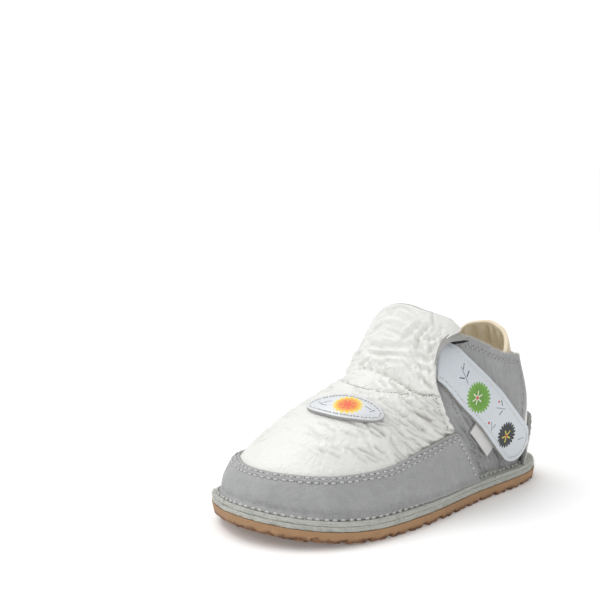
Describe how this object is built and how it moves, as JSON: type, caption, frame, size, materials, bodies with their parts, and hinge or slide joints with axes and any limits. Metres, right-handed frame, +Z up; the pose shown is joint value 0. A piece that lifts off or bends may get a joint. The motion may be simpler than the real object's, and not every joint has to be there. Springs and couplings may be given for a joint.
{
  "type": "first walker shoe",
  "caption": "Left first walker shoe with a thin flexible sole, a soft leather upper, a wide gathered tongue and a hook and loop strap.",
  "frame": {"origin": "on the ground under the middle of the shoe's outer box", "axes": "+Z up, -Y from heel to toe, +X to the outer (lateral) side of this left shoe"},
  "size_m": [0.0696, 0.1412, 0.074],
  "materials": {
    "gum_rubber": "matt, moulded",
    "grey_felt_edge": "raw felted edge",
    "upper_leather": "tumbled, soft sheen",
    "white_leather": "tumbled, soft sheen",
    "grey_leather": "fine grain, soft sheen",
    "beige_lining": "unfinished, matt",
    "printed_leather": "smooth, printed",
    "loop_pad_black": "hook and loop tape",
    "woven_ribbon": "woven"
  },
  "bodies": {
    "root": {"outsole": "gum_rubber", "midsole": "grey_felt_edge", "insole": "beige_lining", "upper": "upper_leather", "tongue": "white_leather", "toe_rand": "grey_leather", "heel_lining": "beige_lining", "strap": "printed_leather", "loop_pad": "loop_pad_black", "label_tab": "woven_ribbon", "vamp_patch": "printed_leather", "heel_patch": "white_leather"}
  },
  "joints": []
}
